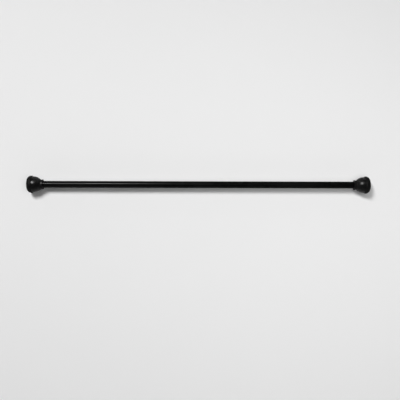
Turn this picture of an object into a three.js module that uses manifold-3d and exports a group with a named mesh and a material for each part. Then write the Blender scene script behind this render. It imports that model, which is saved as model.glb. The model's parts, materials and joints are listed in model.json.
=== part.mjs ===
// Telescopic tension bar: two steel tubes that slide in each other, an eccentric twist lock between
// them, and a spring plunger in one end. A bell-shaped cap with a rubber pad closes each end, and the
// bar is held by the thrust of its pads against two facing walls. Millimetres.
//
// Frame: the origin is the centre of the left pad's wall face, +X runs along the bar to the
// telescoping end, and +Z is up. Everything is drawn with the bar fully collapsed and unlocked.

import * as THREE from 'three';
import { mergeVertices } from 'three/addons/utils/BufferGeometryUtils.js';
import Module from 'manifold-3d';

const wasm = await Module();
wasm.setup();

// ---- Driving dimensions ---------------------------------------------------------------------------

const COLLAPSED_LENGTH = 1270;
const EXTENSION = 559; // travel of the inner tube in the outer tube
const PRESS_TRAVEL = 25; // travel of the sprung end

const ROUND_SIDES = 32; // sides of the tubes and of what runs in them
const CAP_SIDES = 28;
const SMALL_SIDES = 16;
const PIN_SIDES = 12;

const STATIC_FIT = 0.1; // radial gap between nested pieces
const RUNNING_FIT = 0.4; // radial gap between the right cap's bush and the outer tube
const FACE_GAP = 0.3; // axial gap between pieces that bear on each other
const PIN_SUNK = 0.2; // how far a cross pin's ends lie under the surface of its tube

// A tube reaches into a cap by inLeftCap or inRightCap.
const OUTER_TUBE = { radius: 12.7, wall: 0.8, inLeftCap: 30.8, inRightCap: 4.1 };
const INNER_TUBE = { radius: 11.1, wall: 0.7, inRightCap: 5.8 };

// Distances in a cap run from the inner face of its collar ring (0) out to the wall (CAP.length).
const CAP = { length: 57.8 };
const BELL = {
  wall: 1.6,
  ring: { radius: 18.3, length: 4.1 },
  groove: { radius: 16.4, start: 4.5, end: 7.1 },
  bead: { middle: 8.7, halfWidth: 1.3, base: 16.9, height: 1.4 },
  dome: { start: 10, middle: 36.5, halfLength: 34.4, radius: 29.6 },
  end: 37.9,
  bore: 14.8,
  seat: { radius: 16.8, depth: 1.6 },
};
const COLLAR_BUSH = { start: 0.2, radius: 14.6, length: 20, flangeRadius: 16.6, flange: 1.2 };
const PAD = {
  start: 38.2,
  step: { radius: 31, chamfer: [0.5, 0.4] },
  radius: 32.2,
  rimAt: 43.2,
  rimSlope: [2.4, 0.3],
  roundRadius: 14.6,
  lip: { radius: 23, end: 40.9 },
  pocket: { radius: 26, end: 46.4 },
  screwPocket: { radius: 12.6, end: 52.6 },
  grooves: [7.6, 11, 14.4],
  grooveHalfWidth: 0.7,
  grooveDepth: 0.9,
};
const CORE = {
  start: 33.5,
  rim: { radius: 27.6, end: 37.9 },
  neck: { radius: 22.7, end: 41.2 },
  disc: { radius: 25.7, end: 45.9, chamfer: 1 },
  bore: 8.2,
  recess: { inner: 12, outer: 24.4, end: 38.4, taper: 3 },
};
const SPIGOT = { radius: 8, shoulder: 33.2, end: 45.6, drill: 2.9, drillStart: 28, drillPoint: 1 };
const WASHER = { radius: 12, bore: 3, thickness: 1.2 };
const SCREW = { point: 1, headChamfer: 0.6 };
const CAP_SCREW = { radius: 2.6, head: 5.4, headHeight: 3.8, length: 17, socket: 2.6, socketDepth: 2 };

// Distances along the bar.
const RING_FACE = { left: CAP.length, right: COLLAPSED_LENGTH - CAP.length };
const LEFT_PLUG = { length: 14, cavityEnd: 12, cavityRadius: 9.6 };
const MOUTH_BUSH = { length: 100, flange: 1.2, running: 0.1 };
const GUIDE_RING = { width: 7.6, bore: 9.15, radius: 11.8, slit: 2.4, stopPlay: 0.5 };
const LOCK = { plugLength: 30, flange: 3, grooveRadius: 9 };
const CAM = { radius: 10.5, bore: 5.15, length: 15.4 };
const CAM_GRIP = { radius: 10.65, width: 2.2, depth: 1.4, inset: 3 };
const CAM_WASHER = { radius: 7.5 };
const CAM_SCREW = { radius: 1.5, head: 3.6, headHeight: 2.4, length: 12, socket: 1.6, socketDepth: 1.2 };
const CAM_PIN = { radius: 5, drill: 1.8, offset: 1 };
const PLUNGER = { shaft: 9.2, head: 10.2, headLength: 8, length: 115.4 };
const PILOT = { radius: 5.8, tipRadius: 4.8, length: 8 }; // what centres each end of the spring
const STOP_PIN = { radius: 2, fromHead: 12, slotPlay: 0.3 };
const SEAT_PIN = { radius: 1.6, hole: 1.7 };
const PLUG_PIN = { radius: 1.6, hole: 1.7, at: 22 };
const SPRING = { wire: 0.9, radius: 8.1, turns: 14, length: 98, stepsPerTurn: 12, wireSides: 5 };
const SPRING_WASHER = { bore: 6.1, radius: 9.8 };
const SPRING_SEAT = { length: 12 };
const END_BUSH = { bore: 9.3, length: 29, flange: 1.2 };

const outerBore = OUTER_TUBE.radius - OUTER_TUBE.wall;
const innerBore = INNER_TUBE.radius - INNER_TUBE.wall;

// Stations that follow from the sizes above.
const outerTubeStart = RING_FACE.left - OUTER_TUBE.inLeftCap;
const outerTubeEnd = RING_FACE.right + OUTER_TUBE.inRightCap;
const plugPinAt = RING_FACE.left - PLUG_PIN.at;
const mouthBushStart = outerTubeEnd + FACE_GAP - MOUTH_BUSH.length;
const guideRingEnd = mouthBushStart - EXTENSION - GUIDE_RING.stopPlay; // its stop is the mouth bush
const innerTubeStart = guideRingEnd + 2 * FACE_GAP + LOCK.flange;
const innerTubeEnd = RING_FACE.right + INNER_TUBE.inRightCap;
const plungerShoulder = RING_FACE.right + SPIGOT.shoulder;
const plungerHead = plungerShoulder - PLUNGER.length;
const stopPinAt = plungerHead + PLUNGER.headLength + STOP_PIN.fromHead;
const springWasherEnd = plungerHead - FACE_GAP;
const springEnd = springWasherEnd - WASHER.thickness - FACE_GAP;
const springStart = springEnd - SPRING.length;
const springSeatEnd = springStart - FACE_GAP;

// ---- Finishes -------------------------------------------------------------------------------------

const finish = (color, roughness, metalness) => () =>
  new THREE.MeshStandardMaterial({ color, roughness, metalness });

const blackTube = finish(0x101012, 0.35, 0.4);
const blackBell = finish(0x0e0e10, 0.3, 0.2);
const blackRubber = finish(0x141414, 0.8, 0);
const blackNylon = finish(0x1a1a1c, 0.55, 0);
const paleNylon = finish(0xd8d4c8, 0.5, 0);
const zincSteel = finish(0xa8aaad, 0.35, 0.9);
const springSteel = finish(0x70747a, 0.3, 1);

// ---- Helpers --------------------------------------------------------------------------------------

const bar = new THREE.Group();

function add(name, geometry, material) {
  const mesh = new THREE.Mesh(geometry, material());
  mesh.name = name;
  bar.add(mesh);
  return mesh;
}

// Points on an ellipse about [x, r], from one angle to the other in degrees. Angle 0 lies along the bar.
function arc(x, r, halfLength, halfHeight, from, to, steps) {
  return Array.from({ length: steps + 1 }, (_, i) => {
    const angle = THREE.MathUtils.degToRad(from + ((to - from) * i) / steps);
    return [x + halfLength * Math.cos(angle), r + halfHeight * Math.sin(angle)];
  });
}

// A solid of revolution about the bar's axis from [x, radius] points. An outline that doesn't reach the
// axis is closed on itself, and either way round is accepted.
function turned(outline, sides) {
  const reachesAxis = outline[0][1] === 0;
  const area = THREE.ShapeUtils.area(outline.map(([x, r]) => new THREE.Vector2(r, x)));
  const ordered = area > 0 ? outline : [...outline].reverse();
  const points = ordered.map(([x, r]) => new THREE.Vector2(r, x));
  if (!reachesAxis) points.push(points[0].clone());
  return new THREE.LatheGeometry(points, sides).rotateZ(-Math.PI / 2);
}

// A ring with a square section.
const sleeve = (start, end, inner, outer, sides) =>
  turned([[start, inner], [start, outer], [end, outer], [end, inner]], sides);

// A bar across the axis, along Y, at one station.
const crossBar = (x, radius, length, sides = PIN_SIDES) =>
  new THREE.CylinderGeometry(radius, radius, length, sides).translate(x, 0, 0);

// What cuts a six-sided socket into a screw's head whose end face is at mouth.
const socketTool = (mouth, { socket, socketDepth }) =>
  new THREE.CylinderGeometry(socket, socket, 2 * socketDepth, 6).rotateZ(Math.PI / 2).translate(mouth, 0, 0);

function toSolid(geometry) {
  const plain = geometry.clone();
  plain.deleteAttribute('normal');
  plain.deleteAttribute('uv');
  const merged = mergeVertices(plain, 1e-4);
  return new wasm.Manifold(new wasm.Mesh({
    numProp: 3,
    vertProperties: merged.attributes.position.array,
    triVerts: new Uint32Array(merged.index.array),
  }));
}

function fromSolid(solid) {
  const { vertProperties, triVerts } = solid.getMesh();
  const geometry = new THREE.BufferGeometry();
  geometry.setAttribute('position', new THREE.BufferAttribute(vertProperties, 3));
  geometry.setIndex(new THREE.BufferAttribute(triVerts, 1));
  geometry.computeVertexNormals();
  return geometry;
}

const cut = (geometry, ...tools) =>
  fromSolid(tools.reduce((rest, tool) => rest.subtract(toSolid(tool)), toSolid(geometry)));

const join = (first, second) => fromSolid(toSolid(first).add(toSolid(second)));

// The station along the bar of a distance in a cap, and an outline given in such distances.
const station = (side, c) => RING_FACE[side] + (side === 'left' ? -c : c);
const capOutline = (side, outline) => outline.map(([c, r]) => [station(side, c), r]);

// ---- End caps -------------------------------------------------------------------------------------

function bellOutline() {
  const { ring, groove, bead, dome, seat, wall } = BELL;
  const domeAngle = (c) => 180 - THREE.MathUtils.radToDeg(Math.acos((dome.middle - c) / dome.halfLength));
  const innerHalfLength = dome.halfLength - wall;
  const innerRadius = dome.radius - wall;
  const innerStart = 180 - THREE.MathUtils.radToDeg(Math.asin(BELL.bore / innerRadius));
  const innerEnd = THREE.MathUtils.radToDeg(Math.acos((BELL.end - dome.middle) / innerHalfLength));
  return [
    [0, seat.radius],
    [0, ring.radius],
    [ring.length, ring.radius],
    [groove.start, groove.radius],
    [groove.end, groove.radius],
    ...arc(bead.middle, bead.base, bead.halfWidth, bead.height, 180, 0, 4),
    ...arc(dome.middle, 0, dome.halfLength, dome.radius, domeAngle(dome.start), domeAngle(BELL.end), 7),
    ...arc(dome.middle, 0, innerHalfLength, innerRadius, innerEnd, innerStart, 5),
    [seat.depth, BELL.bore],
    [seat.depth, seat.radius],
  ];
}

function padOutline() {
  const { lip, pocket, screwPocket, step, rimSlope, roundRadius } = PAD;
  const faceRadius = PAD.radius - roundRadius;
  const grooves = [...PAD.grooves].reverse().flatMap((r) => [
    [CAP.length, r + PAD.grooveHalfWidth],
    [CAP.length - PAD.grooveDepth, r],
    [CAP.length, r - PAD.grooveHalfWidth],
  ]);
  return [
    [screwPocket.end, 0],
    [screwPocket.end, screwPocket.radius],
    [pocket.end, screwPocket.radius],
    [pocket.end, pocket.radius],
    [lip.end, pocket.radius],
    [lip.end, lip.radius],
    [PAD.start, lip.radius],
    [PAD.start, step.radius - step.chamfer[1]],
    [PAD.start + step.chamfer[0], step.radius],
    [PAD.rimAt - rimSlope[0], PAD.radius - rimSlope[1]],
    ...arc(PAD.rimAt, faceRadius, roundRadius, roundRadius, 90, 0, 6),
    ...grooves,
    [CAP.length, 0],
  ];
}

function coreOutline() {
  const { rim, neck, disc, recess } = CORE;
  return [
    [CORE.start, CORE.bore],
    [CORE.start, recess.inner],
    [recess.end, recess.inner],
    [recess.end, recess.outer - recess.taper],
    [CORE.start, recess.outer],
    [CORE.start, rim.radius],
    [rim.end, rim.radius],
    [rim.end, neck.radius],
    [neck.end, neck.radius],
    [neck.end, disc.radius],
    [disc.end - disc.chamfer, disc.radius],
    [disc.end, disc.radius - disc.chamfer],
    [disc.end, CORE.bore],
  ];
}

function bushOutline(bore) {
  const { start, flange, flangeRadius, radius, length } = COLLAR_BUSH;
  return [
    [start, bore],
    [start, flangeRadius],
    [start + flange, flangeRadius],
    [start + flange, radius],
    [length, radius],
    [length, bore],
  ];
}

function screwOutline(screw, headStart) {
  const tip = headStart - screw.length;
  const top = headStart + screw.headHeight;
  return [
    [tip, 0],
    [tip + SCREW.point, screw.radius],
    [headStart, screw.radius],
    [headStart, screw.head],
    [top - SCREW.headChamfer, screw.head],
    [top, screw.head - SCREW.headChamfer],
    [top, 0],
  ];
}

function makeCap(side, bushBore) {
  const revolve = (outline, sides) => turned(capOutline(side, outline), sides);
  add(`${side}_bell`, revolve(bellOutline(), CAP_SIDES), blackBell);
  add(`${side}_collar_bush`, revolve(bushOutline(bushBore), ROUND_SIDES), blackNylon);
  add(`${side}_core`, revolve(coreOutline(), CAP_SIDES), blackNylon);
  add(`${side}_pad`, revolve(padOutline(), CAP_SIDES), blackRubber);

  const washerStart = CORE.disc.end + FACE_GAP;
  const washerEnd = washerStart + WASHER.thickness;
  const [washerA, washerB] = [washerStart, washerEnd].map((c) => station(side, c));
  add(`${side}_washer`, sleeve(washerA, washerB, WASHER.bore, WASHER.radius, SMALL_SIDES), zincSteel);

  const headStart = washerEnd + FACE_GAP;
  const screw = revolve(screwOutline(CAP_SCREW, headStart), SMALL_SIDES);
  const socket = socketTool(station(side, headStart + CAP_SCREW.headHeight), CAP_SCREW);
  add(`${side}_screw`, cut(screw, socket), zincSteel);
}

// The stub that a cap's core sits on, from the drilled end to the shoulder, in cap distances.
const spigotOutline = [
  [SPIGOT.drillStart, 0],
  [SPIGOT.drillStart + SPIGOT.drillPoint, SPIGOT.drill],
  [SPIGOT.end, SPIGOT.drill],
  [SPIGOT.end, SPIGOT.radius],
  [SPIGOT.shoulder, SPIGOT.radius],
];

makeCap('left', OUTER_TUBE.radius + STATIC_FIT);
makeCap('right', OUTER_TUBE.radius + RUNNING_FIT);

// ---- Outer tube and its fittings --------------------------------------------------------------------

function makeOuterTube() {
  const tube = sleeve(outerTubeStart, outerTubeEnd, outerBore, OUTER_TUBE.radius, ROUND_SIDES);
  const pinHole = crossBar(plugPinAt, PLUG_PIN.hole, 4 * OUTER_TUBE.radius);
  add('outer_tube', cut(tube, pinHole), blackTube);

  const flangeInner = OUTER_TUBE.inLeftCap + FACE_GAP;
  const { length, cavityEnd, cavityRadius } = LEFT_PLUG;
  const plug = turned(capOutline('left', [
    ...spigotOutline,
    [SPIGOT.shoulder, OUTER_TUBE.radius],
    [flangeInner, OUTER_TUBE.radius],
    [flangeInner, outerBore - STATIC_FIT],
    [-length, outerBore - STATIC_FIT],
    [-length, cavityRadius],
    [cavityEnd, cavityRadius],
    [cavityEnd, 0],
  ]), ROUND_SIDES);
  add('left_plug', cut(plug, pinHole), blackNylon);
  add('plug_pin', crossBar(plugPinAt, PLUG_PIN.radius, 2 * (OUTER_TUBE.radius - PIN_SUNK)), zincSteel);

  const bore = INNER_TUBE.radius + MOUTH_BUSH.running;
  const flangeStart = outerTubeEnd + FACE_GAP;
  add('mouth_bush', turned([
    [mouthBushStart, bore],
    [mouthBushStart, outerBore - STATIC_FIT],
    [flangeStart, outerBore - STATIC_FIT],
    [flangeStart, OUTER_TUBE.radius],
    [flangeStart + MOUTH_BUSH.flange, OUTER_TUBE.radius],
    [flangeStart + MOUTH_BUSH.flange, bore],
  ], ROUND_SIDES), blackNylon);
}

// ---- Inner tube, guide ring and twist lock ----------------------------------------------------------

function makeInnerTube() {
  const tube = sleeve(innerTubeStart, innerTubeEnd, innerBore, INNER_TUBE.radius, ROUND_SIDES);
  const seatPinAt = springSeatEnd - SPRING_SEAT.length / 2;
  const seatPinHole = crossBar(seatPinAt, SEAT_PIN.hole, 4 * INNER_TUBE.radius);
  const stopPinHole = crossBar(stopPinAt, STOP_PIN.radius + STATIC_FIT, 4 * INNER_TUBE.radius);
  add('inner_tube', cut(tube, seatPinHole, stopPinHole), blackTube);
  const pinLength = 2 * (INNER_TUBE.radius - PIN_SUNK);
  add('seat_pin', crossBar(seatPinAt, SEAT_PIN.radius, pinLength), zincSteel);
  add('stop_pin', crossBar(stopPinAt, STOP_PIN.radius, pinLength), zincSteel);

  const seat = turned([
    [springSeatEnd - SPRING_SEAT.length, 0],
    [springSeatEnd - SPRING_SEAT.length, innerBore - STATIC_FIT],
    [springSeatEnd, innerBore - STATIC_FIT],
    [springSeatEnd, PILOT.radius],
    [springSeatEnd + PILOT.length, PILOT.tipRadius],
    [springSeatEnd + PILOT.length, 0],
  ], ROUND_SIDES);
  add('spring_seat', cut(seat, seatPinHole), paleNylon);

  const flangeStart = innerTubeEnd + FACE_GAP;
  add('end_bush', turned([
    [flangeStart - END_BUSH.length, END_BUSH.bore],
    [flangeStart - END_BUSH.length, innerBore - STATIC_FIT],
    [flangeStart, innerBore - STATIC_FIT],
    [flangeStart, INNER_TUBE.radius],
    [flangeStart + END_BUSH.flange, INNER_TUBE.radius],
    [flangeStart + END_BUSH.flange, END_BUSH.bore],
  ], ROUND_SIDES), blackNylon);
}

function makeLock() {
  const ringStart = guideRingEnd - GUIDE_RING.width;
  const ring = sleeve(ringStart, guideRingEnd, GUIDE_RING.bore, GUIDE_RING.radius, ROUND_SIDES);
  const slit = new THREE.BoxGeometry(4 * GUIDE_RING.width, GUIDE_RING.slit, 2 * GUIDE_RING.radius)
    .translate(guideRingEnd, 0, -GUIDE_RING.radius);
  add('guide_ring', cut(ring, slit), paleNylon);

  const grooveStart = ringStart - FACE_GAP;
  const grooveEnd = guideRingEnd + FACE_GAP;
  const discStart = grooveStart - LOCK.flange;
  const camEnd = discStart - FACE_GAP;
  const camStart = camEnd - CAM.length;
  const pinEnd = camStart - FACE_GAP;
  const stub = turned([
    [discStart, 0],
    [discStart, INNER_TUBE.radius],
    [grooveStart, INNER_TUBE.radius],
    [grooveStart, LOCK.grooveRadius],
    [grooveEnd, LOCK.grooveRadius],
    [grooveEnd, INNER_TUBE.radius],
    [innerTubeStart - FACE_GAP, INNER_TUBE.radius],
    [innerTubeStart - FACE_GAP, innerBore - STATIC_FIT],
    [innerTubeStart + LOCK.plugLength, innerBore - STATIC_FIT],
    [innerTubeStart + LOCK.plugLength, 0],
  ], ROUND_SIDES);
  const drillEnd = pinEnd + CAM_SCREW.length;
  const pinRoot = (discStart + grooveStart) / 2;
  const pin = turned([
    [drillEnd, 0],
    [drillEnd, CAM_PIN.drill],
    [pinEnd, CAM_PIN.drill],
    [pinEnd, CAM_PIN.radius],
    [pinRoot, CAM_PIN.radius],
    [pinRoot, 0],
  ], SMALL_SIDES).translate(0, 0, -CAM_PIN.offset);
  add('lock_stub', join(stub, pin), zincSteel);

  // The cam is bored off centre by the pin's own offset, so it lies centred in the tube when unlocked.
  // A twist of 72 degrees swings it sideways until its grip rings reach the outer tube's bore.
  const grips = [camStart + CAM_GRIP.inset, camEnd - CAM_GRIP.inset - CAM_GRIP.width];
  const floor = CAM.radius - CAM_GRIP.depth;
  const camBody = turned([
    [camStart, 0],
    [camStart, CAM.radius],
    ...grips.flatMap((start) => [
      [start, CAM.radius],
      [start, floor],
      [start + CAM_GRIP.width, floor],
      [start + CAM_GRIP.width, CAM.radius],
    ]),
    [camEnd, CAM.radius],
    [camEnd, 0],
  ], ROUND_SIDES);
  const camBore = new THREE.CylinderGeometry(CAM.bore, CAM.bore, 2 * CAM.length, SMALL_SIDES)
    .rotateZ(Math.PI / 2).translate((camStart + camEnd) / 2, 0, -CAM_PIN.offset);
  add('cam_ring', cut(camBody, camBore), blackNylon);
  grips.forEach((start, i) => {
    const [from, to] = [start + STATIC_FIT, start + CAM_GRIP.width - STATIC_FIT];
    const grip = sleeve(from, to, floor + STATIC_FIT, CAM_GRIP.radius, ROUND_SIDES);
    add(`cam_grip_ring_${i + 1}`, grip, blackRubber);
  });

  const washerEnd = pinEnd - FACE_GAP;
  const washerStart = washerEnd - WASHER.thickness;
  const washer = sleeve(washerStart, washerEnd, CAM_PIN.drill, CAM_WASHER.radius, SMALL_SIDES);
  add('cam_washer', washer.translate(0, 0, -CAM_PIN.offset), zincSteel);
  const headStart = -(washerStart - FACE_GAP);
  const screw = turned(screwOutline(CAM_SCREW, headStart).map(([x, r]) => [-x, r]), SMALL_SIDES);
  const socket = socketTool(-headStart - CAM_SCREW.headHeight, CAM_SCREW);
  add('cam_screw', cut(screw, socket).translate(0, 0, -CAM_PIN.offset), zincSteel);
}

// ---- Sprung end -----------------------------------------------------------------------------------

function makePlunger() {
  const headEnd = plungerHead + PLUNGER.headLength;
  const body = turned([
    [plungerHead - PILOT.length, 0],
    [plungerHead - PILOT.length, PILOT.tipRadius],
    [plungerHead, PILOT.radius],
    [plungerHead, PLUNGER.head],
    [headEnd, PLUNGER.head],
    [headEnd, PLUNGER.shaft],
    [plungerShoulder, PLUNGER.shaft],
    ...capOutline('right', [...spigotOutline].reverse()),
  ], CAP_SIDES);
  const halfSlot = STOP_PIN.radius + STOP_PIN.slotPlay;
  const slotEnds = [stopPinAt, stopPinAt + PRESS_TRAVEL].map((x) => crossBar(x, halfSlot, 4 * PLUNGER.shaft));
  const slotMiddle = new THREE.BoxGeometry(PRESS_TRAVEL, 4 * PLUNGER.shaft, 2 * halfSlot)
    .translate(stopPinAt + PRESS_TRAVEL / 2, 0, 0);
  add('plunger', cut(body, ...slotEnds, slotMiddle), blackNylon);
  const washerStart = springWasherEnd - WASHER.thickness;
  const washer = sleeve(washerStart, springWasherEnd, SPRING_WASHER.bore, SPRING_WASHER.radius, CAP_SIDES);
  add('spring_washer', washer, zincSteel);
}

class Helix extends THREE.Curve {
  getPoint(t, target = new THREE.Vector3()) {
    const angle = 2 * Math.PI * SPRING.turns * t;
    const run = SPRING.length - 2 * SPRING.wire;
    return target.set(
      springStart + SPRING.wire + run * t,
      SPRING.radius * Math.cos(angle),
      SPRING.radius * Math.sin(angle),
    );
  }
}

function makeSpring() {
  const section = new THREE.Shape(
    Array.from({ length: SPRING.wireSides }, (_, i) => {
      const angle = (2 * Math.PI * i) / SPRING.wireSides;
      return new THREE.Vector2(SPRING.wire * Math.cos(angle), SPRING.wire * Math.sin(angle));
    }),
  );
  const wire = new THREE.ExtrudeGeometry(section, {
    steps: SPRING.turns * SPRING.stepsPerTurn,
    extrudePath: new Helix(),
    bevelEnabled: false,
  });
  add('spring', wire, springSteel);
}

makeOuterTube();
makeInnerTube();
makeLock();
makePlunger();
makeSpring();

export default bar;
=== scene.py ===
import json
import math

import bmesh
import bpy
import numpy as np
from mathutils import Matrix, Vector


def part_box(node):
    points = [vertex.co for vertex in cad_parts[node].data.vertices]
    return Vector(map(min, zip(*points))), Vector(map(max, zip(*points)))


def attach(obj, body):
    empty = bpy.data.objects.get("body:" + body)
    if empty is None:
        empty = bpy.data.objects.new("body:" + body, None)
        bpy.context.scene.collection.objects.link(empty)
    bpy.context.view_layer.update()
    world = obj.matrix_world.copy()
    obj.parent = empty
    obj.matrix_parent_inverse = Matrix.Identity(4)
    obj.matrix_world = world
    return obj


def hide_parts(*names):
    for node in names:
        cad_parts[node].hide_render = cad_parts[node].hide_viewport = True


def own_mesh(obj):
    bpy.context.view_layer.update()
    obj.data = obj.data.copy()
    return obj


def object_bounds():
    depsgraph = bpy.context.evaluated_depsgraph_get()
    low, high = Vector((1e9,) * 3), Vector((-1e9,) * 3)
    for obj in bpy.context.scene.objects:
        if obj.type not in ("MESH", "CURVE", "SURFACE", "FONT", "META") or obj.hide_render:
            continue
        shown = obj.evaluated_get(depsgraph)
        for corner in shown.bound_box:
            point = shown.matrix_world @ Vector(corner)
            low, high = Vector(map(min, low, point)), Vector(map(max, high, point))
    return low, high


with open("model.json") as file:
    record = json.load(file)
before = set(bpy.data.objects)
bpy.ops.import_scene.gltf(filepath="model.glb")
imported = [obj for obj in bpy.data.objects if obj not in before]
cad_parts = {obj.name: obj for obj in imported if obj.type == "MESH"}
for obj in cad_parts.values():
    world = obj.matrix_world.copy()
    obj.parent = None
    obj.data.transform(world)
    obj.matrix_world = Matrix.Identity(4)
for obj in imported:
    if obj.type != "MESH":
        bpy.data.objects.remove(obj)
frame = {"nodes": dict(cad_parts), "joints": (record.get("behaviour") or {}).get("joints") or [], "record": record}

# A black telescopic tension bar on a pale floor. Metres, in the CAD frame: +X runs along the bar to its
# telescoping end and +Z is up. Most pieces are turned from the half section of their CAD node, with
# rounder sides and soft edges. The spring and the pins are made from their nodes' sizes, and a few nodes
# stay, with bevelled edges.

CAD_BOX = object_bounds()
MIDDLE = (CAD_BOX[0] + CAD_BOX[1]) / 2
MM = 0.001

CAP_SIDES = 144
TUBE_SIDES = 112
SMALL_SIDES = 64
PIN_SIDES = 40

REAL_CORNER = math.radians(33)  # a turn of the outline sharper than this is an edge, and not a curve
STRAIGHT = math.radians(0.5)  # a turn smaller than this is no turn
SHARP_SHADING = math.radians(28)
CURVE_STEP = 0.9 * MM  # length of a span of a smoothed curve
ARC_SHARE = 0.42  # the most of a straight side that the rounding of its corner takes
EDGE_STEPS, HOLLOW_STEPS = 5, 3  # spans in the arc of an outer edge and of an inner corner
WORN_WIDTH = 0.6 * MM  # how far the wear on an edge fades out past its rounding

SPRING_WIRE = 0.9 * MM  # half of the wire's thickness
SPRING_TURNS = 14
SPRING_STEPS = 40  # a turn
WIRE_SIDES = 12
PIN_PLAY = 0.1 * MM  # between a cross pin and its hole, all round
SLOT_PLAY = 0.3 * MM
HALF_SLIT = 1.2 * MM
KEPT_BEVEL = 0.15 * MM

FLOOR_GREY = 0.86
WORLD_GREY = 0.009
FLOOR_FLAT, FLOOR_BEND, FLOOR_WALL = 5.4, 1.5, 2.2  # radius of the flat, radius of the bend, rise above
CAMERA_PLACE = (0.0059, -0.0569, 2.081)  # from the bar's middle
CAMERA_TURN = math.radians(0.154)
CAMERA_LENS, CAMERA_SENSOR = 50.4, 36.0
# Tones, and what they are shown as.
FILM_TOE = ((0.012, 0.0048), (0.03, 0.0122), (0.06, 0.036), (0.11, 0.1), (0.2, 0.2), (0.6, 0.6))


# ---- Half sections --------------------------------------------------------------------------------

def section_edges(node, axis_z):
    """The edges of a CAD node's cut through its axis, as pairs of (x, radius) on the upper side."""
    bm = bmesh.new()
    bm.from_mesh(frame["nodes"][node].data)
    bmesh.ops.remove_doubles(bm, verts=bm.verts, dist=1e-6)
    bmesh.ops.bisect_plane(
        bm, geom=[*bm.verts, *bm.edges, *bm.faces], dist=1e-7,
        plane_co=(0, 0, axis_z), plane_no=(0, 1, 0),
    )
    found = set()
    for edge in bm.edges:
        points = [v.co for v in edge.verts]
        if all(abs(p.y) < 1e-6 and p.z > axis_z - 1e-6 for p in points):
            ends = [(round(p.x, 6), round(max(p.z - axis_z, 0), 6)) for p in points]
            found.add(tuple(sorted(ends)))
    bm.free()
    return found


def longest_chain(edges):
    """The chain of edges that reaches furthest from the axis, in order. A loop ends where it starts."""
    links = {}
    for a, b in edges:
        if a[1] > 0 or b[1] > 0:
            links.setdefault(a, []).append(b)
            links.setdefault(b, []).append(a)
    top = max(links, key=lambda p: (p[1], p[0]))
    chain = [top]
    for grow_front in (False, True):
        while True:
            end = chain[0] if grow_front else chain[-1]
            steps = [p for p in links[end] if p not in chain]
            if not steps or end[1] == 0:
                break
            if grow_front:
                chain.insert(0, steps[0])
            else:
                chain.append(steps[0])
    if chain[0] in links[chain[-1]] and chain[0][1] > 0:
        chain.append(chain[0])
    return chain


def without_straight_points(chain):
    """The chain less the points on a straight run, and whether it is a loop, which then isn't closed."""
    points = [np.array(p) for p in chain]
    closed = chain[0] == chain[-1]
    ring = points[:-1] if closed else points
    kept = []
    for i, p in enumerate(ring):
        if not closed and i in (0, len(ring) - 1):
            kept.append(p)
            continue
        if turn_between(ring[i - 1], p, ring[(i + 1) % len(ring)]) > STRAIGHT:
            kept.append(p)
    return kept, closed


def turn_between(before, point, after):
    """How far the path turns at a point, in radians."""
    a, b = point - before, after - point
    return abs(math.atan2(a[0] * b[1] - a[1] * b[0], a @ b))


def half_section(node, axis_z=0.0):
    """A CAD node's outline, with its solid on the left hand, and whether it closes on itself."""
    points, closed = without_straight_points(longest_chain(section_edges(node, axis_z)))
    shoelace = sum(p[0] * q[1] - q[0] * p[1] for p, q in zip(points, points[1:] + points[:1]))
    return (points if shoelace > 0 else points[::-1]), closed


# ---- Rounding and smoothing -----------------------------------------------------------------------

def fillet(before, corner, after, radius, steps):
    """Points of an arc that rounds a corner, as far as its two sides leave room for."""
    a, b = before - corner, after - corner
    la, lb = np.linalg.norm(a), np.linalg.norm(b)
    a, b = a / la, b / lb
    half = math.acos(max(-1.0, min(1.0, a @ b))) / 2
    reach = min(radius / math.tan(half), ARC_SHARE * la, ARC_SHARE * lb)
    radius = reach * math.tan(half)
    middle = corner + (a + b) / np.linalg.norm(a + b) * radius / math.sin(half)
    start, end = corner + a * reach - middle, corner + b * reach - middle
    sweep = math.atan2(start[0] * end[1] - start[1] * end[0], start @ end)
    angles = [sweep * i / steps for i in range(steps + 1)]
    return [middle + turned_by(start, angle) for angle in angles]


def turned_by(vector, angle):
    c, s = math.cos(angle), math.sin(angle)
    return np.array([c * vector[0] - s * vector[1], s * vector[0] + c * vector[1]])


def curve_between(p0, p1, p2, p3):
    """Points after p1 up to and with p2, on a smooth curve through p0 to p3."""
    count = max(1, round(np.linalg.norm(p2 - p1) / CURVE_STEP))
    gaps = [max(np.linalg.norm(b - a), 1e-9) ** 0.5 for a, b in ((p0, p1), (p1, p2), (p2, p3))]
    m1 = (p1 - p0) / gaps[0] - (p2 - p0) / (gaps[0] + gaps[1]) + (p2 - p1) / gaps[1]
    m2 = (p2 - p1) / gaps[1] - (p3 - p1) / (gaps[1] + gaps[2]) + (p3 - p2) / gaps[2]
    m1, m2 = m1 * gaps[1], m2 * gaps[1]
    made = []
    for i in range(1, count + 1):
        t = i / count
        h = (2 * t**3 - 3 * t**2 + 1, t**3 - 2 * t**2 + t, -2 * t**3 + 3 * t**2, t**3 - t**2)
        made.append(h[0] * p1 + h[1] * m1 + h[2] * p2 + h[3] * m2)
    return made


def beside(corner, end, neighbour):
    """A point on the straight side of a rounded corner, a little past the end of its arc."""
    reach, length = np.linalg.norm(end - corner), np.linalg.norm(neighbour - corner)
    share = min(reach + WORN_WIDTH, (reach + 0.5 * length) / 2)
    return corner + (neighbour - corner) * share / length


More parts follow.
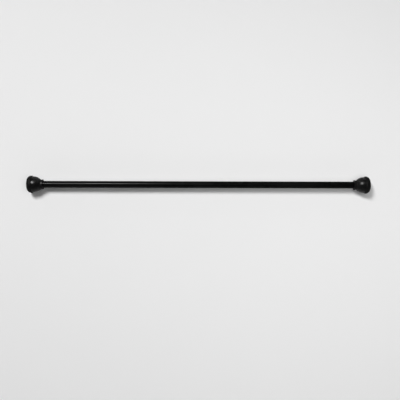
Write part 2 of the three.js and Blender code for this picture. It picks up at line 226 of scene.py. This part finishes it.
def refined(points, closed, edge_radius, corner_radius):
    """The outline with rounded edges and smooth curves: lists of points, of wear and of cavity.
    Wear is 1 on an edge that stands out, and cavity is 1 in a corner or groove that dirt stays in."""
    count = len(points)
    low, high = np.min(points, axis=0), np.max(points, axis=0)
    turns = [0.0] * count
    for i in range(count):
        if closed or 0 < i < count - 1:
            turns[i] = turn_between(points[i - 1], points[i], points[(i + 1) % count])
    sharp = [turns[i] > REAL_CORNER or (not closed and i in (0, count - 1)) for i in range(count)]
    made, wear, cavity = [], [], []

    def put(new, worn=0.0, hollow=0.0):
        for p in new:
            made.append(np.clip(p, low, high))
            wear.append(worn)
            cavity.append(hollow)

    for i in range(count):
        p, before, after = points[i], points[i - 1], points[(i + 1) % count]
        if not closed and i in (0, count - 1):
            put([p])
        elif sharp[i]:
            cross = (p[0] - before[0]) * (after[1] - p[1]) - (p[1] - before[1]) * (after[0] - p[0])
            outward = cross > 0
            radius = edge_radius if outward else corner_radius
            rounded = fillet(before, p, after, radius, EDGE_STEPS if outward else HOLLOW_STEPS)
            if sharp[i - 1]:
                put([beside(p, rounded[0], before)])
            put(rounded, float(outward), float(not outward))
            if sharp[(i + 1) % count]:
                put([beside(p, rounded[-1], after)])
        if not closed and i == count - 1:
            break
        smooth_start, smooth_end = not sharp[i], not sharp[(i + 1) % count]
        if smooth_start or smooth_end:
            p0 = before if smooth_start else 2 * p - after
            p3 = points[(i + 2) % count] if smooth_end else 2 * after - p
            run = curve_between(p0, p, after, p3)
            put(run if smooth_end else run[:-1])
    return made, wear, cavity


# ---- Turned pieces --------------------------------------------------------------------------------

def lathe_mesh(name, outline, closed, sides, axis_z):
    """A mesh of revolution about the bar's axis, with the outline's wear and cavity on its vertices."""
    points, wear, cavity = outline
    mesh = bpy.data.meshes.new(name)
    bm = bmesh.new()
    layers = [bm.verts.layers.float.new(key) for key in ("wear", "cavity")]
    rings = []
    for point, values in zip(points, zip(wear, cavity)):
        x, r = point
        angles = [0.0] if r < 1e-7 else [2 * math.pi * k / sides for k in range(sides)]
        ring = [bm.verts.new((x, r * math.sin(a), axis_z + r * math.cos(a))) for a in angles]
        for vert in ring:
            for layer, value in zip(layers, values):
                vert[layer] = value
        rings.append(ring)
    pairs = list(zip(rings, rings[1:] + rings[:1])) if closed else list(zip(rings, rings[1:]))
    for a, b in pairs:
        for k in range(sides):
            corners = [a[k % len(a)], b[k % len(b)], b[(k + 1) % len(b)], a[(k + 1) % len(a)]]
            unique = [v for i, v in enumerate(corners) if v not in corners[:i]]
            if len(unique) > 2:
                bm.faces.new(unique)
    bmesh.ops.recalc_face_normals(bm, faces=bm.faces)
    bm.to_mesh(mesh)
    bm.free()
    return mesh


def shade(mesh):
    mesh.shade_smooth()
    mesh.set_sharp_from_angle(angle=SHARP_SHADING)


def new_object(name, mesh):
    made = bpy.data.objects.new(name, mesh)
    bpy.context.scene.collection.objects.link(made)
    return made


def cut(piece, *tools):
    """Takes tools away from a piece, and removes them."""
    bpy.context.view_layer.update()
    for tool in tools:
        difference = piece.modifiers.new("cut", "BOOLEAN")
        difference.operation = "DIFFERENCE"
        difference.solver = "EXACT"
        difference.object = tool
    graph = bpy.context.evaluated_depsgraph_get()
    mesh = bpy.data.meshes.new_from_object(piece.evaluated_get(graph), depsgraph=graph)
    piece.modifiers.clear()
    piece.data = mesh
    shade(mesh)
    for tool in tools:
        bpy.data.objects.remove(tool)


def cross_tool(x, radius, half_length):
    """A cylinder across the bar, along Y."""
    bm = bmesh.new()
    turn = Matrix.Translation((x, 0, 0)) @ Matrix.Rotation(math.pi / 2, 4, "X")
    bmesh.ops.create_cone(
        bm, cap_ends=True, segments=PIN_SIDES, radius1=radius, radius2=radius,
        depth=2 * half_length, matrix=turn,
    )
    mesh = bpy.data.meshes.new("tool")
    bm.to_mesh(mesh)
    bm.free()
    return new_object("tool", mesh)


def box_tool(low, high):
    """A block between two corners."""
    bm = bmesh.new()
    bmesh.ops.create_cube(bm, size=1)
    for vert in bm.verts:
        vert.co = Vector(low[k] if vert.co[k] < 0 else high[k] for k in range(3))
    mesh = bpy.data.meshes.new("tool")
    bm.to_mesh(mesh)
    bm.free()
    return new_object("tool", mesh)


def stand_in(piece, node, material):
    """The piece rides where its CAD node does, hides it and takes its finish."""
    piece.data.materials.append(material)
    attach(piece, body_of[node])
    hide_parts(node)
    return piece


def turned_piece(node, material, sides, edge=0.3 * MM, corner=0.12 * MM, axis_z=0.0):
    """A finely turned piece in place of a CAD node."""
    points, closed = half_section(node, axis_z)
    name = f"{node}_turned"
    mesh = lathe_mesh(name, refined(points, closed, edge, corner), closed, sides, axis_z)
    shade(mesh)
    return stand_in(new_object(name, mesh), node, material)


# ---- Node graphs ----------------------------------------------------------------------------------

class Finish:
    """A material under way: its Principled shader and short calls for the nodes that feed it."""

    def __init__(self, name, **values):
        self.material = bpy.data.materials.new(name)
        self.material.use_nodes = True
        self.tree = self.material.node_tree
        self.shader = self.tree.nodes["Principled BSDF"]
        for socket, value in values.items():
            self.shader.inputs[socket.replace("_", " ")].default_value = value
        self.place = self.node("ShaderNodeTexCoord").outputs["Object"]

    def node(self, kind, **settings):
        made = self.tree.nodes.new(kind)
        for key, value in settings.items():
            setattr(made, key, value)
        return made

    def feed(self, socket, value):
        if isinstance(value, bpy.types.NodeSocket):
            self.tree.links.new(value, socket)
        else:
            socket.default_value = value

    def drive(self, name, value):
        self.feed(self.shader.inputs[name], value)

    def scaled(self, scale):
        """The place, stretched along each axis."""
        made = self.node("ShaderNodeMapping", vector_type="POINT")
        self.feed(made.inputs["Vector"], self.place)
        made.inputs["Scale"].default_value = scale
        return made.outputs["Vector"]

    def noise(self, size, detail=2.0, roughness=0.5, stretch=(1, 1, 1)):
        """Noise whose blobs are about this many metres across, stretched by so many times."""
        made = self.node("ShaderNodeTexNoise")
        self.feed(made.inputs["Vector"], self.scaled(tuple(1 / (size * s) for s in stretch)))
        made.inputs["Scale"].default_value = 1.0
        made.inputs["Detail"].default_value = detail
        made.inputs["Roughness"].default_value = roughness
        return made.outputs["Fac"]

    def cells(self, size):
        """Distance from the middles of cells about this many metres across."""
        made = self.node("ShaderNodeTexVoronoi")
        self.feed(made.inputs["Vector"], self.scaled((1 / size,) * 3))
        made.inputs["Scale"].default_value = 1.0
        return made.outputs["Distance"]

    def spread(self, value, low, high, to_low=0.0, to_high=1.0):
        """A value between low and high, spread from to_low to to_high."""
        made = self.node("ShaderNodeMapRange", interpolation_type="SMOOTHSTEP")
        for name, number in zip(
            ("Value", "From Min", "From Max", "To Min", "To Max"), (value, low, high, to_low, to_high)
        ):
            self.feed(made.inputs[name], number)
        return made.outputs["Result"]

    def math(self, operation, a, b):
        made = self.node("ShaderNodeMath", operation=operation, use_clamp=operation != "SUBTRACT")
        self.feed(made.inputs[0], a)
        self.feed(made.inputs[1], b)
        return made.outputs["Value"]

    def mix(self, share, a, b):
        """Colour a, or b where share is 1."""
        made = self.node("ShaderNodeMix", data_type="RGBA")
        for index, value in ((0, share), (6, a), (7, b)):
            self.feed(made.inputs[index], value)
        return made.outputs[2]

    def attribute(self, name):
        return self.node("ShaderNodeAttribute", attribute_name=name).outputs["Fac"]

    def bump(self, height, depth, under=None):
        """Relief of so many metres over the relief under it."""
        made = self.node("ShaderNodeBump")
        made.inputs["Strength"].default_value = 1.0
        made.inputs["Distance"].default_value = depth
        self.feed(made.inputs["Height"], height)
        if under is not None:
            self.feed(made.inputs["Normal"], under)
        return made.outputs["Normal"]


def grey(value, warmth=0.0):
    return (value * (1 + warmth), value, value * (1 - warmth), 1.0)


# ---- Finishes -------------------------------------------------------------------------------------

def tube_coat(name, sliding):
    """Black powder coat: fine orange peel, cloudy gloss, thin rubs along the tube, worn ends."""
    f = Finish(name, IOR=1.45, Specular_IOR_Level=0.17)
    clouds = f.noise(0.045, 3.0, stretch=(2.5, 1, 1))
    speckle = f.noise(0.0009, 2.0)
    peel = f.noise(0.0022, 2.0, 0.45)
    rubs = f.spread(f.noise(0.0011, 3.0, 0.6, stretch=(90, 1, 1)), 0.62, 0.74)
    rub_places = f.spread(f.noise(0.09, 1.0), 0.42, 0.62)
    rubbed = f.math("MULTIPLY", f.math("MULTIPLY", rubs, rub_places), 1.0 if sliding else 0.5)
    worn = f.math("MULTIPLY", f.attribute("wear"), f.spread(speckle, 0.35, 0.6))
    handled = f.spread(f.noise(0.012, 4.0, 0.62, stretch=(2, 1, 1)), 0.52, 0.7)
    coat = f.mix(f.spread(clouds, 0.3, 0.7), grey(0.0055), grey(0.0110))
    coat = f.mix(f.math("MULTIPLY", handled, 0.6), coat, grey(0.017))
    coat = f.mix(f.spread(speckle, 0.5, 0.8, 0.0, 0.5), coat, grey(0.026))
    coat = f.mix(rubbed, coat, grey(0.036))
    f.drive("Base Color", f.mix(worn, coat, grey(0.11)))
    gloss = f.spread(clouds, 0.35, 0.65, 0.26, 0.34)
    gloss = f.math("ADD", gloss, f.math("MULTIPLY", handled, 0.07))
    gloss = f.math("ADD", gloss, f.math("MULTIPLY", rubbed, 0.12))
    f.drive("Roughness", f.math("ADD", gloss, f.math("MULTIPLY", worn, 0.1)))
    relief = f.bump(peel, 0.000045)
    relief = f.bump(speckle, 0.000012, relief)
    f.drive("Normal", f.bump(f.math("SUBTRACT", 1.0, rubbed), 0.000003, relief))
    return f.material


def bell_moulding():
    """Satin black moulding: fine texture, faint sink clouds, polished edges and dust in the grooves."""
    f = Finish("bell_moulding", IOR=1.5, Specular_IOR_Level=0.45)
    clouds = f.noise(0.018, 3.0)
    grain = f.noise(0.0007, 3.0, 0.55)
    flow = f.noise(0.006, 2.0, stretch=(4, 1, 1))
    smears = f.spread(f.noise(0.009, 4.0, 0.62, stretch=(1, 2.5, 1)), 0.5, 0.68)
    scratches = f.spread(f.noise(0.0009, 3.0, 0.6, stretch=(22, 1, 1)), 0.66, 0.74)
    dust_in = f.math("MULTIPLY", f.attribute("cavity"), f.spread(grain, 0.35, 0.65))
    worn = f.math("MULTIPLY", f.attribute("wear"), f.spread(f.noise(0.004, 4.0), 0.4, 0.65))
    colour = f.mix(f.spread(clouds, 0.3, 0.7), grey(0.0055), grey(0.0105))
    colour = f.mix(f.spread(grain, 0.5, 0.75, 0.0, 0.5), colour, grey(0.022))
    colour = f.mix(f.math("MULTIPLY", smears, 0.6), colour, grey(0.028))
    colour = f.mix(f.math("MULTIPLY", scratches, 0.7), colour, grey(0.08))
    colour = f.mix(dust_in, colour, grey(0.05, 0.06))
    f.drive("Base Color", f.mix(worn, colour, grey(0.042)))
    gloss = f.spread(clouds, 0.35, 0.65, 0.37, 0.49)
    gloss = f.math("ADD", gloss, f.math("MULTIPLY", smears, 0.14))
    gloss = f.math("ADD", gloss, f.math("MULTIPLY", dust_in, 0.3))
    f.drive("Roughness", f.math("SUBTRACT", gloss, f.math("MULTIPLY", worn, 0.08)))
    relief = f.bump(flow, 0.00007)
    f.drive("Normal", f.bump(grain, 0.00003, relief))
    return f.material


def pad_rubber():
    """Matt black rubber: fine grain, greyish bloom, dust in the grip grooves and scuffed edges."""
    f = Finish("pad_rubber", IOR=1.5, Specular_IOR_Level=0.3)
    bloom = f.noise(0.012, 4.0, 0.6)
    grain = f.noise(0.0005, 3.0, 0.6)
    pores = f.spread(f.cells(0.0012), 0.1, 0.6)
    scuffs = f.spread(f.noise(0.006, 5.0, 0.68), 0.54, 0.68)
    dust_in = f.math("MULTIPLY", f.attribute("cavity"), f.spread(bloom, 0.3, 0.7))
    worn = f.math("MULTIPLY", f.attribute("wear"), f.spread(f.noise(0.003, 4.0), 0.38, 0.62))
    colour = f.mix(f.spread(bloom, 0.35, 0.75), grey(0.0065), grey(0.0150))
    colour = f.mix(f.spread(grain, 0.5, 0.75, 0.0, 0.5), colour, grey(0.026))
    colour = f.mix(f.math("MULTIPLY", scuffs, 0.7), colour, grey(0.058, 0.03))
    colour = f.mix(dust_in, colour, grey(0.075, 0.08))
    f.drive("Base Color", f.mix(worn, colour, grey(0.052)))
    rough = f.spread(bloom, 0.3, 0.7, 0.5, 0.66)
    rough = f.math("ADD", rough, f.math("MULTIPLY", scuffs, 0.12))
    f.drive("Roughness", f.math("ADD", rough, f.math("MULTIPLY", dust_in, 0.2)))
    relief = f.bump(pores, 0.00003)
    f.drive("Normal", f.bump(grain, 0.00004, relief))
    return f.material


def nylon(name, dark, light, dust):
    """Moulded nylon: waxy, lightly mottled, with a fine texture and dirt in its corners."""
    f = Finish(name, IOR=1.53)
    mottle = f.noise(0.006, 3.0)
    grain = f.noise(0.0006, 3.0, 0.55)
    streaks = f.noise(0.0012, 2.0, stretch=(12, 1, 1))
    dust_in = f.math("MULTIPLY", f.attribute("cavity"), f.spread(mottle, 0.3, 0.6))
    colour = f.mix(f.spread(mottle, 0.3, 0.7), grey(dark, 0.03), grey(light, 0.03))
    f.drive("Base Color", f.mix(dust_in, colour, grey(dust, 0.08)))
    rough = f.spread(streaks, 0.3, 0.7, 0.38, 0.52)
    f.drive("Roughness", f.math("ADD", rough, f.math("MULTIPLY", dust_in, 0.15)))
    f.drive("Normal", f.bump(grain, 0.000025, f.bump(streaks, 0.000015)))
    return f.material


def zinc_plate():
    """Zinc-plated steel: turning marks, spangled tint and dull patches, brighter on its edges."""
    f = Finish("zinc_plate", Metallic=1.0)
    tint = f.noise(0.004, 3.0)
    marks = f.noise(0.00022, 3.0, 0.6, stretch=(1, 9, 9))
    dull = f.spread(f.noise(0.002, 4.0, 0.6), 0.45, 0.7)
    bright = f.math("MULTIPLY", f.attribute("wear"), 0.8)
    colour = f.mix(f.spread(tint, 0.35, 0.65), grey(0.46, -0.02), grey(0.52, 0.05))
    colour = f.mix(f.math("MULTIPLY", dull, 0.5), colour, grey(0.34))
    f.drive("Base Color", f.mix(bright, colour, grey(0.62)))
    gloss = f.spread(marks, 0.3, 0.7, 0.24, 0.38)
    f.drive("Roughness", f.math("ADD", gloss, f.math("MULTIPLY", dull, 0.15)))
    f.drive("Normal", f.bump(marks, 0.000007))
    return f.material


def drawn_wire():
    """Oiled spring wire: dark steel with draw lines and brown tinges."""
    f = Finish("drawn_wire", Metallic=1.0)
    lines = f.noise(0.00025, 3.0, 0.6, stretch=(1, 10, 10))
    tinge = f.spread(f.noise(0.005, 4.0, 0.6), 0.5, 0.75)
    colour = f.mix(f.spread(lines, 0.3, 0.7), grey(0.24), grey(0.33))
    f.drive("Base Color", f.mix(f.math("MULTIPLY", tinge, 0.6), colour, grey(0.16, 0.2)))
    gloss = f.spread(lines, 0.3, 0.7, 0.26, 0.38)
    f.drive("Roughness", f.math("ADD", gloss, f.math("MULTIPLY", tinge, 0.12)))
    f.drive("Normal", f.bump(lines, 0.000006))
    return f.material


def floor_paper():
    """Pale seamless paper with a barely seen tooth and clouds."""
    f = Finish("floor_paper", IOR=1.3, Specular_IOR_Level=0.1)
    clouds = f.noise(0.35, 2.0)
    tooth = f.noise(0.0012, 2.0)
    f.drive("Base Color", f.mix(clouds, grey(FLOOR_GREY * 0.995), grey(FLOOR_GREY * 1.005)))
    f.drive("Roughness", f.spread(clouds, 0.3, 0.7, 0.82, 0.92))
    f.drive("Normal", f.bump(tooth, 0.00002))
    return f.material


# ---- The spring and the pins ----------------------------------------------------------------------

def spring_path(start, end, radius, wire):
    """The wire's middle line: close turns at both ends and open ones between, as a list of points."""
    steps = SPRING_STEPS * SPRING_TURNS
    dead = 1.0 / SPRING_TURNS  # share of the wire in each closed end turn
    closed_rise = 2.05 * wire
    rise = (end - start - 2 * wire - 2 * closed_rise) / (1 - 2 * dead)
    points = []
    for i in range(steps + 1):
        t = i / steps
        middle = min(max(t - dead, 0), 1 - 2 * dead)
        ends = closed_rise * (min(t, dead) + max(t - (1 - dead), 0)) / dead
        x = start + wire + rise * middle + ends
        angle = 2 * math.pi * SPRING_TURNS * t
        points.append(Vector((x, radius * math.cos(angle), radius * math.sin(angle))))
    return points


def tube_along(points, wire):
    """A round wire along points that wind about the X axis, with flat ground ends."""
    bm = bmesh.new()
    rings = []
    low, high = points[0].x - wire, points[-1].x + wire
    for i, p in enumerate(points):
        along = (points[min(i + 1, len(points) - 1)] - points[max(i - 1, 0)]).normalized()
        out = Vector((0, p.y, p.z)).normalized()
        side = along.cross(out).normalized()
        out = side.cross(along)
        ring = []
        for k in range(WIRE_SIDES):
            angle = 2 * math.pi * k / WIRE_SIDES
            co = p + (out * math.cos(angle) + side * math.sin(angle)) * wire
            co.x = min(max(co.x, low + 0.3 * wire), high - 0.3 * wire)
            ring.append(bm.verts.new(co))
        rings.append(ring)
    for a, b in zip(rings, rings[1:]):
        for k in range(WIRE_SIDES):
            after = (k + 1) % WIRE_SIDES
            bm.faces.new((a[k], b[k], b[after], a[after]))
    bm.faces.new(rings[0])
    bm.faces.new(rings[-1])
    bmesh.ops.recalc_face_normals(bm, faces=bm.faces)
    mesh = bpy.data.meshes.new("spring_wound")
    bm.to_mesh(mesh)
    bm.free()
    return mesh


def make_spring(material):
    """The spring, wound to fill its CAD node, with closed turns at both ends and open ones between."""
    low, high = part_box("spring")
    path = spring_path(low.x, high.x, high.z - SPRING_WIRE, SPRING_WIRE)
    mesh = tube_along(path, SPRING_WIRE)
    shade(mesh)
    piece = stand_in(new_object("spring_wound", mesh), "spring", material)
    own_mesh(piece)


def make_pin(node, material):
    """A cross pin with chamfered ends, along Y."""
    low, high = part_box(node)
    x, radius, half_length = (low.x + high.x) / 2, (high.z - low.z) / 2, high.y
    chamfer = 0.3 * radius
    stations = [
        (-half_length, 0.0), (-half_length, radius - chamfer), (-half_length + chamfer, radius),
        (half_length - chamfer, radius), (half_length, radius - chamfer), (half_length, 0.0),
    ]
    worn = [0.0, 1.0, 1.0, 1.0, 1.0, 0.0]
    outline = [np.array(p) for p in stations], worn, [0.0] * len(worn)
    mesh = lathe_mesh(f"{node}_turned", outline, False, PIN_SIDES, 0.0)
    mesh.transform(Matrix.Translation((x, 0, 0)) @ Matrix.Rotation(math.pi / 2, 4, "Z"))
    shade(mesh)
    stand_in(new_object(f"{node}_turned", mesh), node, material)


# ---- Pieces that need more than turning -----------------------------------------------------------

def hole_for(pin):
    """What cuts a cross pin's hole, all the way across."""
    low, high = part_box(pin)
    return cross_tool((low.x + high.x) / 2, (high.z - low.z) / 2 + PIN_PLAY, 4 * high.y)


def make_drilled(node, pins, material, sides):
    """A turned piece with holes for its cross pins."""
    piece = turned_piece(node, material, sides, edge=0.2 * MM)
    cut(piece, *[hole_for(pin) for pin in pins])


def make_plunger(material):
    """The plunger has a slot that the stop pin runs in, as long as the travel."""
    piece = turned_piece("plunger", material, CAP_SIDES)
    low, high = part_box("stop_pin")
    travel = max(abs(x) for x in joint_of["spring_press"]["range_m"])
    x, half = (low.x + high.x) / 2, (high.z - low.z) / 2 + SLOT_PLAY
    across = 4 * high.y
    cut(
        piece,
        cross_tool(x, half, across),
        cross_tool(x + travel, half, across),
        box_tool((x, -across, -half), (x + travel, across, half)),
    )


def make_guide_ring(material):
    """The guide ring is slit underneath so that it springs over the lock's stub."""
    piece = turned_piece("guide_ring", material, TUBE_SIDES)
    low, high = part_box("guide_ring")
    cut(piece, box_tool((low.x - MM, -HALF_SLIT, low.z - MM), (high.x + MM, HALF_SLIT, 0)))


def keep_cad(node, material):
    """A CAD node that stays, with softened edges."""
    piece = frame["nodes"][node]
    piece.data.materials.clear()
    piece.data.materials.append(material)
    weld = piece.modifiers.new("weld", "WELD")
    weld.merge_threshold = 0.001 * MM
    bevel = piece.modifiers.new("edges", "BEVEL")
    bevel.width, bevel.segments = KEPT_BEVEL, 2
    bevel.limit_method, bevel.angle_limit = "ANGLE", REAL_CORNER
    shade(piece.data)


# ---- Floor, light and camera ----------------------------------------------------------------------

def make_floor():
    """A round pale floor that curves up at its far edge."""
    sides, bend_steps = 128, 12
    profile = [(0.0, 0.0), (FLOOR_FLAT * 0.5, 0.0), (FLOOR_FLAT, 0.0)]
    for i in range(1, bend_steps + 1):
        a = math.pi / 2 * i / bend_steps
        profile.append((FLOOR_FLAT + FLOOR_BEND * math.sin(a), FLOOR_BEND * (1 - math.cos(a))))
    profile.append((FLOOR_FLAT + FLOOR_BEND, FLOOR_BEND + FLOOR_WALL))
    bm = bmesh.new()
    rings = []
    for r, z in profile:
        count = 1 if r == 0 else sides
        rings.append([
            bm.verts.new((
                MIDDLE.x + r * math.cos(2 * math.pi * k / sides),
                r * math.sin(2 * math.pi * k / sides),
                CAD_BOX[0].z + z,
            ))
            for k in range(count)
        ])
    for a, b in zip(rings, rings[1:]):
        for k in range(sides):
            corners = [a[k % len(a)], b[k], b[(k + 1) % sides], a[(k + 1) % len(a)]]
            bm.faces.new([v for i, v in enumerate(corners) if v not in corners[:i]])
    bmesh.ops.recalc_face_normals(bm, faces=bm.faces)
    mesh = bpy.data.meshes.new("floor")
    bm.to_mesh(mesh)
    bm.free()
    mesh.shade_smooth()
    mesh.materials.append(floor_paper())
    new_object("floor", mesh)


def softbox(name, place, size, watts, aim, mirrored=True):
    """A rectangular lamp. Its place and the point that it's aimed at are from the bar's middle."""
    lamp = bpy.data.lights.new(name, "AREA")
    lamp.shape = "RECTANGLE"
    lamp.size, lamp.size_y = size
    lamp.energy = watts
    made = bpy.data.objects.new(name, lamp)
    made.location = MIDDLE + Vector(place)
    made.rotation_euler = (Vector(aim) - Vector(place)).to_track_quat("-Z", "Y").to_euler()
    made.visible_camera = False
    made.visible_glossy = mirrored
    bpy.context.scene.collection.objects.link(made)


def make_lights():
    """A key behind the left end, turned away past the bar so that the floor stays even, a fill above
    the right end that leaves no reflection, and a lamp for the floor's rim on either side."""
    softbox("key", place=(-1.3, 1.88, 3.9), size=(1.0, 1.6), watts=235, aim=(-2.0, -9.0, 0.0))
    softbox(
        "fill", place=(0.9, 0.0, 2.2), size=(1.6, 1.8), watts=23.5, aim=(2.6, 0.0, 0.0), mirrored=False,
    )
    for side in (1, -1):
        softbox(
            "background", place=(0.0, 2.6 * side, 2.8), size=(4.0, 0.6), watts=48,
            aim=(0.0, 7.4 * side, 1.0),
        )
    world = bpy.data.worlds.new("studio")
    world.use_nodes = True
    world.node_tree.nodes["Background"].inputs["Color"].default_value = grey(WORLD_GREY)
    bpy.context.scene.world = world


def make_camera():
    """Straight above the bar, a little past its front, with the telescoping end turned slightly down."""
    camera = bpy.data.objects.new("camera", bpy.data.cameras.new("camera"))
    camera.data.sensor_width = CAMERA_SENSOR
    camera.data.lens = CAMERA_LENS
    camera.data.clip_start, camera.data.clip_end = 0.05, 40.0
    camera.location = MIDDLE + Vector(CAMERA_PLACE)
    camera.rotation_euler = (0, 0, CAMERA_TURN)
    bpy.context.scene.collection.objects.link(camera)
    bpy.context.scene.camera = camera


def make_film():
    """A camera's response: straight, but for a toe that deepens the darkest tones."""
    view = bpy.context.scene.view_settings
    view.view_transform = "Standard"
    view.use_curve_mapping = True
    curve = view.curve_mapping.curves[3]
    for tone, seen in FILM_TOE:
        curve.points.new(tone, seen)
    view.curve_mapping.update()


# ---- The bar --------------------------------------------------------------------------------------

body_of = {node: body for body, nodes in frame["record"]["behaviour"]["bodies"].items() for node in nodes}
joint_of = {joint["name"]: joint for joint in frame["joints"]}


def make_caps(bell, rubber, nylon_black, zinc):
    for side in ("left", "right"):
        turned_piece(f"{side}_bell", bell, CAP_SIDES, edge=0.35 * MM, corner=0.2 * MM)
        turned_piece(f"{side}_pad", rubber, CAP_SIDES, edge=0.4 * MM, corner=0.2 * MM)
        turned_piece(f"{side}_collar_bush", nylon_black, TUBE_SIDES)
        turned_piece(f"{side}_core", nylon_black, CAP_SIDES)
        turned_piece(f"{side}_washer", zinc, SMALL_SIDES, edge=0.15 * MM)
        keep_cad(f"{side}_screw", zinc)


def make_tubes(outer, inner):
    make_drilled("outer_tube", ["plug_pin"], outer, TUBE_SIDES)
    make_drilled("inner_tube", ["seat_pin", "stop_pin"], inner, TUBE_SIDES)


def make_inside(nylon_black, nylon_pale, rubber, zinc):
    make_drilled("left_plug", ["plug_pin"], nylon_black, TUBE_SIDES)
    make_drilled("spring_seat", ["seat_pin"], nylon_pale, TUBE_SIDES)
    turned_piece("mouth_bush", nylon_black, TUBE_SIDES)
    turned_piece("end_bush", nylon_black, TUBE_SIDES)
    make_plunger(nylon_black)
    make_guide_ring(nylon_pale)
    for index in (1, 2):
        turned_piece(f"cam_grip_ring_{index}", rubber, TUBE_SIDES, edge=0.2 * MM)
    low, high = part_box("cam_washer")
    turned_piece("cam_washer", zinc, SMALL_SIDES, edge=0.15 * MM, axis_z=(low.z + high.z) / 2)
    turned_piece("spring_washer", zinc, SMALL_SIDES, edge=0.15 * MM)
    for pin in ("plug_pin", "seat_pin", "stop_pin"):
        make_pin(pin, zinc)
    keep_cad("lock_stub", zinc)
    keep_cad("cam_ring", nylon_black)
    keep_cad("cam_screw", zinc)


def make_bar():
    rubber, zinc = pad_rubber(), zinc_plate()
    nylon_black = nylon("nylon_black", dark=0.012, light=0.02, dust=0.06)
    nylon_pale = nylon("nylon_pale", dark=0.62, light=0.7, dust=0.4)
    make_caps(bell_moulding(), rubber, nylon_black, zinc)
    make_tubes(tube_coat("tube_coat", sliding=False), tube_coat("inner_tube_coat", sliding=True))
    make_inside(nylon_black, nylon_pale, rubber, zinc)
    make_spring(drawn_wire())


make_bar()
make_floor()
make_lights()
make_camera()
make_film()
